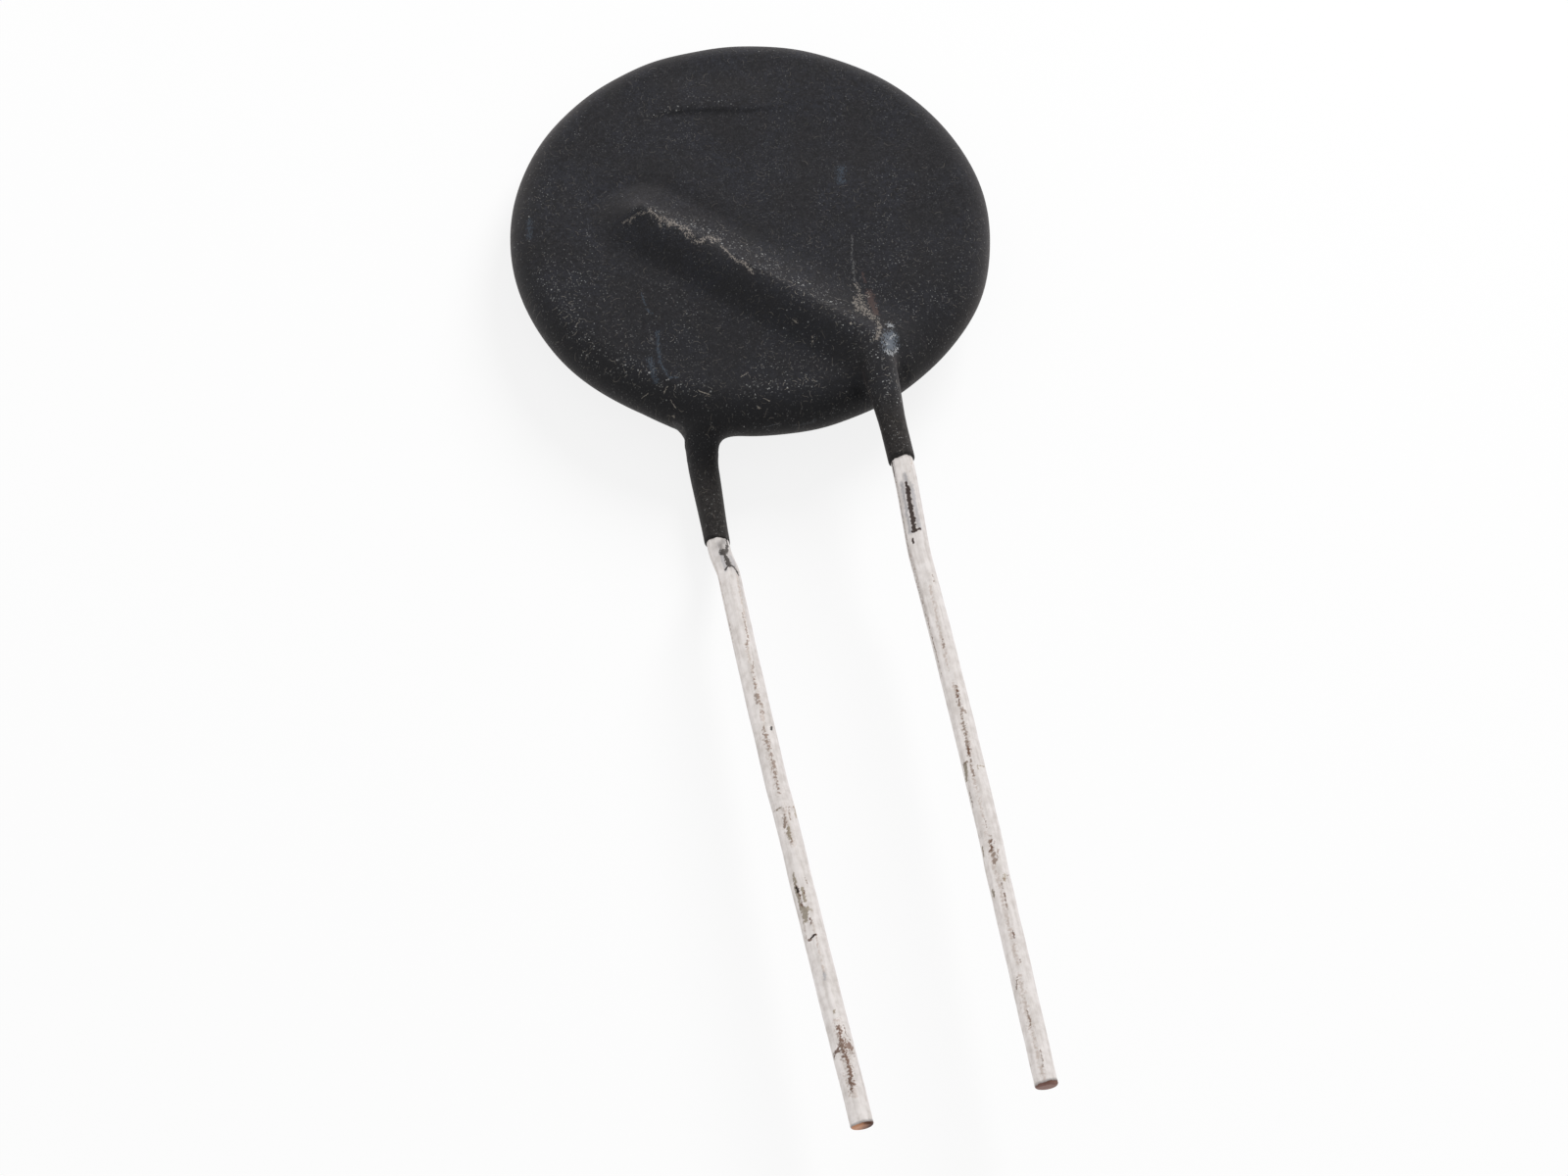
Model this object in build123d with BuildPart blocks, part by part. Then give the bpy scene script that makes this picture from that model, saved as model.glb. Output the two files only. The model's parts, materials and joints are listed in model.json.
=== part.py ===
from build123d import *
from math import asin, atan2, cos, degrees, hypot, radians, sin

# Disc thermistor: a sintered ceramic disc, silvered on both faces, with a tinned wire soldered
# across each face, and the whole dipped in black resin that runs down on to both wires.
# It is drawn face up: X across the disc, Y from the wires' tips to the disc, Z out of the front
# face. The back is the front turned half round about Y. At the end the part is leaned over its
# back ridge, which is how it lies on a table.

# Driving dimensions, in millimetres and degrees
body_diameter = 22.0
body_thickness = 2.8
ceramic_diameter = 20.0
ceramic_thickness = 2.0
ceramic_chamfer = 0.3
silver_diameter = 19.2
silver_thickness = 0.05
wire_diameter = 1.0
solder_film = 0.05

# The wires' routes. The stretch across the disc is given for the front face.
inner_end = (-4.9, 0.85)
rim_bend = (4.04, -8.05)
rim_bend_radius = 1.6
kink_radius = 3.0
front_wire = {
    "side": 1,
    "sleeve_end_y": -14.9,
    "kink_start": (4.02, -15.3),
    "kink_end": (4.04, -19.0, 0.05),
    "tip": (3.92, -46.2, -0.5),
}
back_wire = {
    "side": -1,
    "sleeve_end_y": -15.5,
    "kink_start": (-4.4, -16.0),
    "kink_end": (-4.38, -18.2, -0.25),
    "tip": (-4.0, -46.7, -0.5),
}
tip_slant = 15.0
tip_edge = 0.1
tip_overrun = 1.0

# Solder bead along each wire's inner stretch
solder_length = 6.0
solder_width = 1.7
solder_height = 0.4
solder_slope = 45.0

# Resin over the wires
ridge_radius = 0.72
ridge_blend = 1.3
sleeve_top_y = -11.0
sleeve_end_radius = 0.59

# Worked out from the above
wire_radius = wire_diameter / 2
rim_radius = body_thickness / 2
face_radius = body_diameter / 2 - rim_radius
silver_top = ceramic_thickness / 2 + silver_thickness
wire_height = silver_top + solder_film + wire_radius
diagonal = (Vector(*rim_bend) - Vector(*inner_end)).normalized()
ridge_offset = abs(Vector(*inner_end).cross(diagonal).Z)


def on_wire(place, side):
    """A place in X and Y at the height of the wire on this side."""
    return Vector(*place, side * wire_height)


def on_face(place, side):
    """A place given for the front face, or its twin on the back."""
    return on_wire((side * place[0], place[1]), side)


def at_y(start, end, y):
    """The point with this Y on the line from start to end."""
    return start + (end - start) * ((y - start.Y) / (end.Y - start.Y))


def make_electrode(name, wire):
    """Fired silver on one face."""
    side = wire["side"]
    with BuildPart() as electrode:
        with BuildSketch(Plane.XY.offset(side * ceramic_thickness / 2)):
            Circle(silver_diameter / 2)
        extrude(amount=side * silver_thickness)
    electrode.part.label = f"{name}_electrode"
    return electrode.part


def make_lead(name, wire):
    """Tinned wire: across the face, out over the rim, kinked to the middle, sheared at the tip."""
    tip = Vector(*wire["tip"])
    kink_end = Vector(*wire["kink_end"])
    past_tip = tip + (tip - kink_end).normalized() * tip_overrun
    with BuildPart() as lead:
        with BuildLine() as route:
            FilletPolyline(
                on_face(inner_end, wire["side"]),
                on_face(rim_bend, wire["side"]),
                on_wire(wire["kink_start"], wire["side"]),
                kink_end,
                past_tip,
                radius=[rim_bend_radius, kink_radius, kink_radius],
            )
        with BuildSketch(Plane(route.line @ 0, z_dir=route.line % 0)):
            Circle(wire_radius)
        sweep(path=route.line)
        shear_normal = (0, -cos(radians(tip_slant)), -sin(radians(tip_slant)))
        split(bisect_by=Plane(tip, x_dir=(1, 0, 0), z_dir=shear_normal), keep=Keep.BOTTOM)
        chamfer(lead.faces().sort_by(Axis.Y)[0].edges(), tip_edge)
    lead.part.label = f"{name}_lead"
    return lead.part


def make_solder(name, wire, lead):
    """Bead on the silver, with the wire lying in it."""
    start = on_face(inner_end, wire["side"])
    along = (on_face(rim_bend, wire["side"]) - start).normalized()
    middle = start + along * (solder_length / 2 - wire_radius)
    seat = Plane((middle.X, middle.Y, wire["side"] * silver_top), x_dir=along, z_dir=(0, 0, wire["side"]))
    with BuildPart() as solder:
        with BuildSketch(seat):
            SlotOverall(solder_length, solder_width)
        extrude(amount=solder_height, taper=solder_slope)
        add(lead, mode=Mode.SUBTRACT)
    solder.part.label = f"{name}_solder"
    return solder.part


# Sintered ceramic disc
with BuildPart() as ceramic_disc:
    Cylinder(ceramic_diameter / 2, ceramic_thickness)
    chamfer(ceramic_disc.edges().filter_by(GeomType.CIRCLE), ceramic_chamfer)
ceramic_disc.part.label = "ceramic_disc"

front_electrode = make_electrode("front", front_wire)
back_electrode = make_electrode("back", back_wire)
front_lead = make_lead("front", front_wire)
back_lead = make_lead("back", back_wire)
front_solder = make_solder("front", front_wire, front_lead)
back_solder = make_solder("back", back_wire, back_lead)
inside = [ceramic_disc.part, front_electrode, back_electrode, front_lead, back_lead, front_solder, back_solder]

# Dipped resin: a disc with a full-round rim, a ridge over each wire, and a sleeve down each wire
with BuildPart() as coating:
    with BuildSketch(Plane.XZ):
        Rectangle(face_radius, body_thickness, align=(Align.MIN, Align.CENTER))
        with Locations((face_radius, 0)):
            Circle(rim_radius)
        split(bisect_by=Plane.YZ, keep=Keep.TOP)
    revolve(axis=Axis.Z)

    for wire in (front_wire, back_wire):
        bend = on_face(rim_bend, wire["side"])
        kink_start = on_wire(wire["kink_start"], wire["side"])
        sleeve_top = at_y(bend, kink_start, sleeve_top_y)
        sleeve_end = at_y(bend, kink_start, wire["sleeve_end_y"])
        with BuildLine() as ridge:
            FilletPolyline(on_face(inner_end, wire["side"]), bend, sleeve_top, radius=rim_bend_radius)
        with BuildSketch(Plane(ridge.line @ 0, z_dir=ridge.line % 0)):
            Circle(ridge_radius)
        sweep(path=ridge.line)
        with Locations(ridge.line @ 0):
            Sphere(ridge_radius)
        with BuildSketch(Plane(sleeve_top, z_dir=sleeve_end - sleeve_top)):
            Circle(ridge_radius)
        with BuildSketch(Plane(sleeve_end, z_dir=sleeve_end - sleeve_top)):
            Circle(sleeve_end_radius)
        loft()

    # Where a ridge or sleeve meets the disc, the resin fills the corner with a wide fillet
    sides = coating.edges().filter_by(lambda edge: 0.7 < abs(edge.center().Z) < wire_height - 0.05)
    face_edge = sides.filter_by(lambda edge: edge.geom_type == GeomType.CIRCLE and edge.radius > face_radius - 0.1)
    fillet(sides - face_edge, ridge_blend)
    for piece in inside:
        add(piece, mode=Mode.SUBTRACT)
coating.part.label = "coating"

# It rests on the back ridge and on the far rim: the lean that brings both down to one level
reach = ridge_offset + face_radius
lean = degrees(atan2(wire_height, reach) - asin((rim_radius - ridge_radius) / hypot(reach, wire_height)))
ridge_axis = Axis((0, 0, 0), (-diagonal.X, diagonal.Y, 0))
leaned = [piece.rotate(ridge_axis, lean) for piece in [coating.part, *inside]]
box = Compound(leaned).bounding_box()
for piece in leaned:
    placed = piece.translate((-box.center().X, -box.center().Y, -box.min.Z))
    export_step(placed, f"parts/{piece.label}.step")
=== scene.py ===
import json
from math import cos, pi, radians, sin, tan

import bpy
import numpy as np
from mathutils import Matrix, Vector


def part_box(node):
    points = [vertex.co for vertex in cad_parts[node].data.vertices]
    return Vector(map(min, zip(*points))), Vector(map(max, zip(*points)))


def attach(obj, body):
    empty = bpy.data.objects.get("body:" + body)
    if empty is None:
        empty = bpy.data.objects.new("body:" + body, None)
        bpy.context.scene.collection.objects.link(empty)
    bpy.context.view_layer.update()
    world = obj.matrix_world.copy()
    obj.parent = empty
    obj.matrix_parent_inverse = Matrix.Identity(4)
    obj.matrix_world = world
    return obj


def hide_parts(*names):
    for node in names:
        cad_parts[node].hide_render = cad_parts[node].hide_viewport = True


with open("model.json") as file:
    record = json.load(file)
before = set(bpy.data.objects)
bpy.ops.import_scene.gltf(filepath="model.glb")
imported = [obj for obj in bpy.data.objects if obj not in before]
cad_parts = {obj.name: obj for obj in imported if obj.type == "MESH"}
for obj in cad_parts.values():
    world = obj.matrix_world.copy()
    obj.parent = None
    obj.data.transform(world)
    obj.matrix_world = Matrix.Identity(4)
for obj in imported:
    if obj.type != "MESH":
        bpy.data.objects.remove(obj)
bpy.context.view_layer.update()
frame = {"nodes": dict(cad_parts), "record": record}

mm = 0.001

# The disc's own frame, in millimetres: X across, Y from the wires' tips to the disc, Z out of the front
# face. The part lies leaned over its back ridge, so everything is drawn flat here and leaned at the end.
lie = {
    "lean": 4.2162,     # degrees about the ridge that runs under the disc
    "ridgeDirection": (-0.7087, -0.7055, 0.0),
}
ceramicLow, ceramicHigh = (np.array(corner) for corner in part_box("ceramic_disc"))
discCentre = (ceramicLow + ceramicHigh) / 2
leanMatrix = Matrix.Rotation(radians(lie["lean"]), 3, Vector(lie["ridgeDirection"]).normalized())


def toPart(points):
    # From the disc's frame in millimetres to the part's frame in metres: turn by the lean, then move
    return points @ np.array(leanMatrix).T * mm + discCentre


def carryProfile(route, radius, sideCount):
    # Profile carried along a path: a circle of sideCount points at each route point, square to the
    # route, its radius a table of route point by side. Returns ring vertices, route by side.
    route = np.asarray(route, float)
    along = np.gradient(route, axis=0)
    along /= np.linalg.norm(along, axis=1, keepdims=True)
    across = np.cross(along, (0.0, 0.0, 1.0))
    across /= np.linalg.norm(across, axis=1, keepdims=True)
    upward = np.cross(across, along)
    angle = np.linspace(0, 2 * pi, sideCount, endpoint=False)
    ring = np.cos(angle)[None, :, None] * across[:, None] + np.sin(angle)[None, :, None] * upward[:, None]
    return route[:, None] + ring * np.broadcast_to(radius, ring.shape[:2])[..., None]


def closedSkin(rings, firstPole, lastPole):
    # Vertices and faces of a closed skin: rings joined by quads, and a fan of triangles to each pole
    rowCount, sideCount = rings.shape[:2]
    vertices = np.concatenate([rings.reshape(-1, 3), [firstPole], [lastPole]])
    row, side = np.meshgrid(np.arange(rowCount - 1), np.arange(sideCount), indexing="ij")
    following = (side + 1) % sideCount
    corner = [row * sideCount + side, row * sideCount + following,
              (row + 1) * sideCount + following, (row + 1) * sideCount + side]
    quads = np.stack(corner, axis=-1).reshape(-1, 4)
    side = np.arange(sideCount)
    following = (side + 1) % sideCount
    last = (rowCount - 1) * sideCount
    firstFan = np.stack([following, side, np.full(sideCount, rowCount * sideCount)], axis=-1)
    lastFan = np.stack([last + side, last + following, np.full(sideCount, rowCount * sideCount + 1)], axis=-1)
    return vertices, quads.tolist() + firstFan.tolist() + lastFan.tolist()


def roundedRoute(points, cuts, step):
    # Straight runs between points, each inner corner replaced by a quadratic curve that starts and ends
    # its cut away from the corner, resampled at an even step along its length
    points = [np.array(point, float) for point in points]
    pieces = [points[:1]]
    for before, corner, after, cut in zip(points, points[1:], points[2:], cuts):
        start = corner + (before - corner) / np.linalg.norm(before - corner) * cut
        end = corner + (after - corner) / np.linalg.norm(after - corner) * cut
        t = np.linspace(0, 1, 24)[:, None]
        pieces.append((1 - t) ** 2 * start + 2 * t * (1 - t) * corner + t ** 2 * end)
    pieces.append(points[-1:])
    route = np.concatenate(pieces)
    length = np.concatenate([[0], np.cumsum(np.linalg.norm(np.diff(route, axis=0), axis=1))])
    even = np.linspace(0, length[-1], int(length[-1] / step) + 2)
    return np.stack([np.interp(even, length, route[:, axis]) for axis in range(3)], axis=-1)


def linkMesh(name, mesh):
    made = bpy.data.objects.new(name, mesh)
    bpy.context.collection.objects.link(made)
    return made


def smoothStep(low, high, value):
    t = np.clip((value - low) / (high - low), 0, 1)
    return t * t * (3 - 2 * t)


coat = {
    "radius": 11.01, "halfThickness": 1.4,
    # where the wire starts on the front face, and where it turns down to leave the disc
    "innerEnd": (-4.9, 0.85), "rimBend": (4.04, -8.05),
    "bendCut": 0.9, "sleeveCut": 0.8, "rodStep": 0.6,
    "crestHeight": 2.26, "crestRound": 0.12,
    # how far from the crest the ridge runs out: its lower side, then its upper side at each wire end
    "ridgeFeet": (1.85, 2.0, 2.5), "lowerPower": 1.8, "upperPower": 1.75,
    "dipReach": 2.1, "dipWidth": 0.45, "dipDepth": 0.06,
    "rodDrop": 0.2, "rodRadius": 0.3, "rodBlend": 0.3,
    "sleeveHeight": 1.6, "sleeveTopY": -11.0, "endRound": 0.12,
    "roughExtra": 0.2, "voxels": (0.3, 0.12),
    "waves": 7, "waveHeight": 0.012, "waveSeed": 7,
}
sleeves = {
    # from which Y to which each sleeve grows to its full radius, and then tapers to that of its end
    "front": {"side": 1, "topX": 4.03, "end": (4.02, -14.9), "endTurn": -4.0, "blend": 0.55,
              "fullRadius": 0.775, "endRadius": 0.6, "growth": (-6.9, -9.3), "taper": (-9.6, -13.2)},
    "back": {"side": -1, "topX": -4.25, "end": (-4.4, -15.62), "endTurn": 13.0, "blend": 1.6,
             "fullRadius": 0.68, "endRadius": 0.565, "growth": (-7.75, -11.0), "taper": (-11.0, -15.62)},
}
crease = {
    "from": (-3.3, 6.7), "to": (3.9, 6.15), "rise": 0.13, "width": 0.24,
    "waver": 0.12, "runOut": (0.3, 2.6), "rimFade": (8.5, 10.2),
}


def ridgeRoute(sleeve):
    # The coat's run over one wire: route points, a radius and a blend width at each, and how far the cut
    # at its end is turned
    side = sleeve["side"]
    ridgeHeight = side * (coat["crestHeight"] - coat["rodDrop"] - coat["rodRadius"])
    inner = (side * coat["innerEnd"][0], coat["innerEnd"][1], ridgeHeight)
    bend = (side * coat["rimBend"][0], coat["rimBend"][1], side * coat["sleeveHeight"])
    top = (sleeve["topX"], coat["sleeveTopY"], side * coat["sleeveHeight"])
    end = (*sleeve["end"], side * coat["sleeveHeight"])
    route = roundedRoute([inner, bend, top, end], [coat["bendCut"], coat["sleeveCut"]], coat["rodStep"])
    down = smoothStep(*sleeve["growth"], route[:, 1])
    taper = smoothStep(*sleeve["taper"], route[:, 1])
    radius = coat["rodRadius"] + (sleeve["fullRadius"] - coat["rodRadius"]) * down
    radius -= (sleeve["fullRadius"] - sleeve["endRadius"]) * taper
    blend = coat["rodBlend"] + (sleeve["blend"] - coat["rodBlend"]) * down
    return route, radius, blend, sleeve["endTurn"]


def distanceToRoute(points, route, radius, blend):
    # Distance to a chain of tapering round rods: the least, over the rods, of the distance to the rod's
    # middle line less the radius there. The blend width comes from the same place on the chain.
    start, step = route[:-1], np.diff(route, axis=0)
    offset = points[:, None] - start[None]
    t = np.clip((offset * step).sum(-1) / (step * step).sum(-1), 0, 1)
    gap = np.linalg.norm(offset - t[..., None] * step, axis=-1) - (radius[:-1] + t * np.diff(radius))
    rod = gap.argmin(axis=1)
    row = np.arange(len(points))
    return gap[row, rod], blend[rod] + t[row, rod] * np.diff(blend)[rod]


def coatSwell(points):
    # Thickness that the resin has over a true disc: a few long sine waves, and one low fold across the
    # top of the front face, a smooth step up over the line of the crease
    waves = np.random.default_rng(coat["waveSeed"])
    swell = np.zeros(len(points))
    for wave in range(coat["waves"]):
        direction = waves.normal(size=3)
        direction *= 2 * pi / waves.uniform(2.5, 8) / np.linalg.norm(direction)
        swell += coat["waveHeight"] * np.sin(points @ direction + waves.uniform(0, 6))
    (x0, y0), (x1, y1) = crease["from"], crease["to"]
    along = (points[:, 0] - x0) / (x1 - x0)
    over = points[:, 1] - (y0 + along * (y1 - y0)) - crease["waver"] * np.sin(along * 7)
    width = crease["width"] * (1 + 2 * np.clip(along - 0.4, 0, 1))
    fold = smoothStep(-width / 2, width / 2, over) * (1 - smoothStep(*crease["runOut"], over))
    fold *= smoothStep(-0.05, 0.2, along) * (1 - smoothStep(0.4, 1.1, along)) * (points[:, 2] > 0.8)
    inside = 1 - smoothStep(*crease["rimFade"], np.hypot(points[:, 0], points[:, 1]))
    return (swell - coat["waves"] * coat["waveHeight"] * 0.35) * 0.8 + crease["rise"] * fold * inside


def ridgeRise(points):
    # Height of the ridge over each wire above the disc's face. On the upper side of the crest it falls as
    # a power of (1 - t), steepest at the crest, and on the lower side as a power of (1 - t squared),
    # steepest past half way; t is how far from the crest to the foot. Past the wire's inner end it falls
    # the gentle way all round, into a shallow dip: a bell curve of the distance from the crest.
    rise = np.zeros(len(points))
    for side in (1, -1):
        start = np.array([side * coat["innerEnd"][0], coat["innerEnd"][1]])
        run = np.array([side * coat["rimBend"][0], coat["rimBend"][1]]) - start
        offset = points[:, :2] - start
        share = offset @ run / (run @ run)
        away = np.hypot(*(offset - np.clip(share, 0, 1)[:, None] * run).T)
        away = np.hypot(away, coat["crestRound"]) - coat["crestRound"]
        across = (side * offset[:, 0] + offset[:, 1]) / 2 ** 0.5
        lowerFoot, innerFoot, outerFoot = coat["ridgeFeet"]
        upperFoot = innerFoot + (outerFoot - innerFoot) * smoothStep(0.1, 0.6, share)
        lower = np.maximum(1 - (away / lowerFoot) ** 2, 0) ** coat["lowerPower"]
        upper = np.maximum(1 - away / upperFoot, 0) ** coat["upperPower"]
        gentle = np.maximum(smoothStep(-0.12, 0.12, across), smoothStep(0.12, -0.03, share))
        height = (coat["crestHeight"] - coat["halfThickness"]) * (lower + (upper - lower) * gentle)
        dip = np.exp(-((away - coat["dipReach"]) / coat["dipWidth"]) ** 2)
        dip = dip * gentle * smoothStep(0.45, 0.1, share)
        rise += (height - coat["dipDepth"] * dip) * smoothStep(-0.3, 0.3, side * points[:, 2])
    return rise


def smoothUnion(first, second, blend):
    # The lesser of two distances, rounded off where they are nearer to each other than the blend
    mixing = np.maximum(blend - np.abs(first - second), 0) / blend
    return np.minimum(first, second) - mixing ** 2 * blend / 4


def coatDistance(points, routes):
    # Distance to the whole coat: a disc with a full-round rim and a ridge over each wire, joined by smooth
    # unions to a rod under the crest that comes out as the sleeve, each sleeve cut at its end
    out = np.maximum(np.hypot(points[:, 0], points[:, 1]) - coat["radius"] + coat["halfThickness"], 0)
    whole = np.hypot(out, points[:, 2]) - coat["halfThickness"] - coatSwell(points) - ridgeRise(points)
    for route, radius, blend, endTurn in routes:
        rod, width = distanceToRoute(points, route, radius, blend)
        endCut = (points - route[-1]) @ (-sin(radians(endTurn)), -cos(radians(endTurn)), 0)
        rod = -smoothUnion(-rod, -endCut, coat["endRound"])
        whole = smoothUnion(whole, rod, width)
    return whole


def fitToCoat(points, routes):
    # Newton steps down the distance's slope, which is measured over a small tetrahedron
    probe, furthest = 0.01, 0.3
    corners = np.array([(1, 1, 1), (1, -1, -1), (-1, 1, -1), (-1, -1, 1)]) * probe
    for step in range(4):
        values = np.stack([coatDistance(points + corner, routes) for corner in corners])
        slope = values.T @ corners / (4 * probe ** 2)
        slope /= np.maximum(np.linalg.norm(slope, axis=1, keepdims=True), 0.3)
        points = points - np.clip(values.mean(0), -furthest, furthest)[:, None] * slope
    return points


def fusedMesh(vertices, faces, voxel):
    # One even closed mesh over everything that the given skins enclose
    rough = bpy.data.meshes.new("roughCoat")
    rough.from_pydata(vertices.tolist(), [], faces)
    roughObject = linkMesh("roughCoat", rough)
    remesh = roughObject.modifiers.new("even", "REMESH")
    remesh.mode = "VOXEL"
    remesh.voxel_size = voxel
    mesh = bpy.data.meshes.new_from_object(roughObject.evaluated_get(bpy.context.evaluated_depsgraph_get()))
    bpy.data.objects.remove(roughObject)
    points = np.empty(len(mesh.vertices) * 3)
    mesh.vertices.foreach_get("co", points)
    return mesh, points.reshape(-1, 3)


def makeCoat():
    # Rough closed skins of the disc and of a rod over each wire are fused into one even mesh and fitted
    # to the coat, first coarsely and then finely
    routes = [ridgeRoute(sleeve) for sleeve in sleeves.values()]
    half, rim = coat["halfThickness"], coat["radius"] - coat["halfThickness"]
    turn = np.linspace(pi / 2, -pi / 2, 16)
    inward = np.linspace(rim - 1, 1, 8)
    level = np.concatenate([np.full(len(inward), half), half * np.sin(turn), np.full(len(inward), -half)])
    reach = np.concatenate([inward[::-1], rim + half * np.cos(turn), inward])[:, None]
    angle = np.linspace(0, 2 * pi, 96, endpoint=False)
    rings = np.stack([reach * np.cos(angle), reach * np.sin(angle),
                      np.broadcast_to(level[:, None], (len(reach), len(angle)))], axis=-1)[::-1]
    skins = [closedSkin(rings, (0, 0, -half), (0, 0, half))]
    for route, radius, blend, endTurn in routes:
        start = route[0] - (route[1] - route[0])
        rod = carryProfile(route, radius[:, None] + coat["roughExtra"], 24)
        skins.append(closedSkin(rod, start, route[-1]))
    vertices = np.concatenate([skin[0] for skin in skins])
    faces, first = [], 0
    for skin in skins:
        faces += [[corner + first for corner in face] for face in skin[1]]
        first += len(skin[0])
    for voxel in coat["voxels"]:
        mesh, points = fusedMesh(vertices, faces, voxel)
        vertices = fitToCoat(points, routes)
        faces = [list(polygon.vertices) for polygon in mesh.polygons]
    mesh.vertices.foreach_set("co", toPart(vertices).ravel())
    mesh.shade_smooth()
    mesh.name = "resinCoat"
    print("coat:", len(faces), "faces, from", vertices[:, 2].min(), "to", vertices[:, 2].max())
    return linkMesh("resin_coat", mesh)


wires = {
    "front": {
        "side": 1, "kinkStart": (4.02, -15.3), "kinkEnd": (4.04, -19.0, 0.05), "tip": (3.92, -46.2, -0.5),
        "bow": 0.135, "jog": (-34.8, -0.1),
        "flats": [(70, 0.455), (130, 0.475)],
        "copper": (0.27, 0.15, 0.125), "bareFrom": -46.04, "burn": 0.1,
    },
    "back": {
        "side": -1, "kinkStart": (-4.4, -16.0), "kinkEnd": (-4.38, -18.2, -0.25), "tip": (-4.0, -46.7, -0.5),
        "bow": -0.125, "jog": (-30.3, 0.06),
        "flats": [(60, 0.465), (115, 0.475)],
        "copper": (0.62, 0.31, 0.18), "bareFrom": -46.6, "burn": 0.6,
    },
}
wireShape = {
    "radius": 0.498, "wireHeight": 1.6, "rimCut": 0.9, "kinkCut": 0.6, "jogLength": 1.6, "bowPower": 0.8,
    "step": 0.1, "sides": 56, "shear": 15.0, "shearedLength": 1.0, "tipRound": 0.14,
    "waves": 8, "waveHeight": 0.0035, "waveSeed": 21, "flatWave": 0.012,
}


def makeWire(name, wire):
    # A circle carried along the wire's route. The radius is the wire's, less lengthwise flats, less a
    # few sine waves, and falls round a quarter circle into the sheared end.
    side, shape = wire["side"], wireShape
    height = side * shape["wireHeight"]
    inner = (side * coat["innerEnd"][0], coat["innerEnd"][1], height)
    bend = (side * coat["rimBend"][0], coat["rimBend"][1], height)
    kinkStart, kinkEnd, tip = (*wire["kinkStart"], height), wire["kinkEnd"], wire["tip"]
    cuts = [shape["rimCut"], shape["kinkCut"], shape["kinkCut"]]
    route = roundedRoute([inner, bend, kinkStart, kinkEnd, tip], cuts, shape["step"])
    share = np.clip((kinkEnd[1] - route[:, 1]) / (kinkEnd[1] - tip[1]), 0, 1)
    route[:, 0] += wire["bow"] * np.sin(pi * share ** shape["bowPower"])
    jogY, jog = wire["jog"]
    half = shape["jogLength"] / 2
    route[:, 0] += jog * smoothStep(jogY + half, jogY - half, route[:, 1]) * (1 - share)
    step = np.linalg.norm(np.diff(route, axis=0), axis=1)
    length = np.concatenate([[0], np.cumsum(step)])

    angle = np.linspace(0, 2 * pi, shape["sides"], endpoint=False)
    waves = np.random.default_rng(shape["waveSeed"] + side)
    radius = np.full((len(route), shape["sides"]), shape["radius"])
    for wave in range(shape["waves"]):
        turns, pitch = waves.integers(1, 4), waves.uniform(1.5, 7)
        phase = waves.uniform(0, 6, size=2)
        along = np.sin(length[:, None] * 2 * pi / pitch + phase[1])
        radius += shape["waveHeight"] * np.sin(angle * turns + phase[0]) * along
    for middle, distance in wire["flats"]:
        turned = np.cos(angle - radians(middle))
        flat = distance + shape["flatWave"] * np.sin(length * 0.9 + middle)[:, None]
        radius = np.where(turned > 0.5, np.minimum(radius, flat / np.maximum(turned, 0.5)), radius)

    # Sheared end: rings slide along the wire in step with their height on the slanted face
    tipStretch = np.clip((length - length[-1]) / shape["shearedLength"] + 1, 0, 1)[:, None]
    slide = tipStretch * np.sin(angle) * shape["radius"] * tan(radians(shape["shear"]))
    roundRows = np.linspace(0, pi / 2, 7)[1:]
    endRadius = radius[-1]
    capRadius = [endRadius - shape["tipRound"] * (1 - np.cos(turn)) for turn in roundRows]
    capReach = [shape["tipRound"] * np.sin(turn) for turn in roundRows]
    for share in (0.66, 0.33):
        capRadius.append((endRadius - shape["tipRound"]) * share)
        capReach.append(shape["tipRound"])
    direction = (route[-1] - route[-2]) / step[-1]
    route = route - direction * tipStretch * shape["tipRound"]
    capRoute = route[-1] + np.array(capReach)[:, None] * direction
    route = np.concatenate([route, capRoute])
    radius = np.concatenate([radius, capRadius])
    slide = np.concatenate([slide, slide[-1] * np.array(capRadius) / endRadius])
    length = np.concatenate([length, length[-1] + np.array(capReach)])
    straight = np.array(route)
    rows = len(capRadius)
    straight[-rows:] = route[-rows - 1] + np.arange(1, rows + 1)[:, None] * direction
    rings = carryProfile(straight, radius, shape["sides"]) + (route - straight)[:, None]
    rings += slide[..., None] * direction
    vertices, faces = closedSkin(rings[:, ::-1], rings[0].mean(0), rings[-1].mean(0))

    mesh = bpy.data.meshes.new(name)
    mesh.from_pydata(toPart(vertices).tolist(), [], faces)
    # The map runs round the wire from underneath and back from its tip, both in millimetres
    corners = np.empty(len(mesh.loops), dtype=int)
    mesh.loops.foreach_get("vertex_index", corners)
    row, column = np.divmod(corners, shape["sides"])
    fromTip = np.concatenate([length[-1] - length, [0]])
    inRings = corners < len(length) * shape["sides"]
    row = np.where(inRings, row, np.where(corners == len(vertices) - 2, 0, len(length)))
    around = ((shape["sides"] - 1 - column) / shape["sides"] + 0.25) % 1.0
    face = np.repeat(np.arange(len(mesh.polygons)), [len(face) for face in faces])
    widest = np.zeros(len(mesh.polygons))
    np.maximum.at(widest, face, around)
    around = np.where((widest[face] > 0.9) & (around < 0.1), around + 1, around)
    uv = np.stack([around * 2 * pi * shape["radius"], fromTip[row]], axis=-1)
    layer = mesh.uv_layers.new(name="wireMap")
    layer.data.foreach_set("uv", uv.ravel())
    mesh.shade_smooth()
    print(name + ":", len(mesh.polygons), "faces,", round(float(length[-1]), 2), "mm long")
    return linkMesh(name, mesh)


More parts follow.
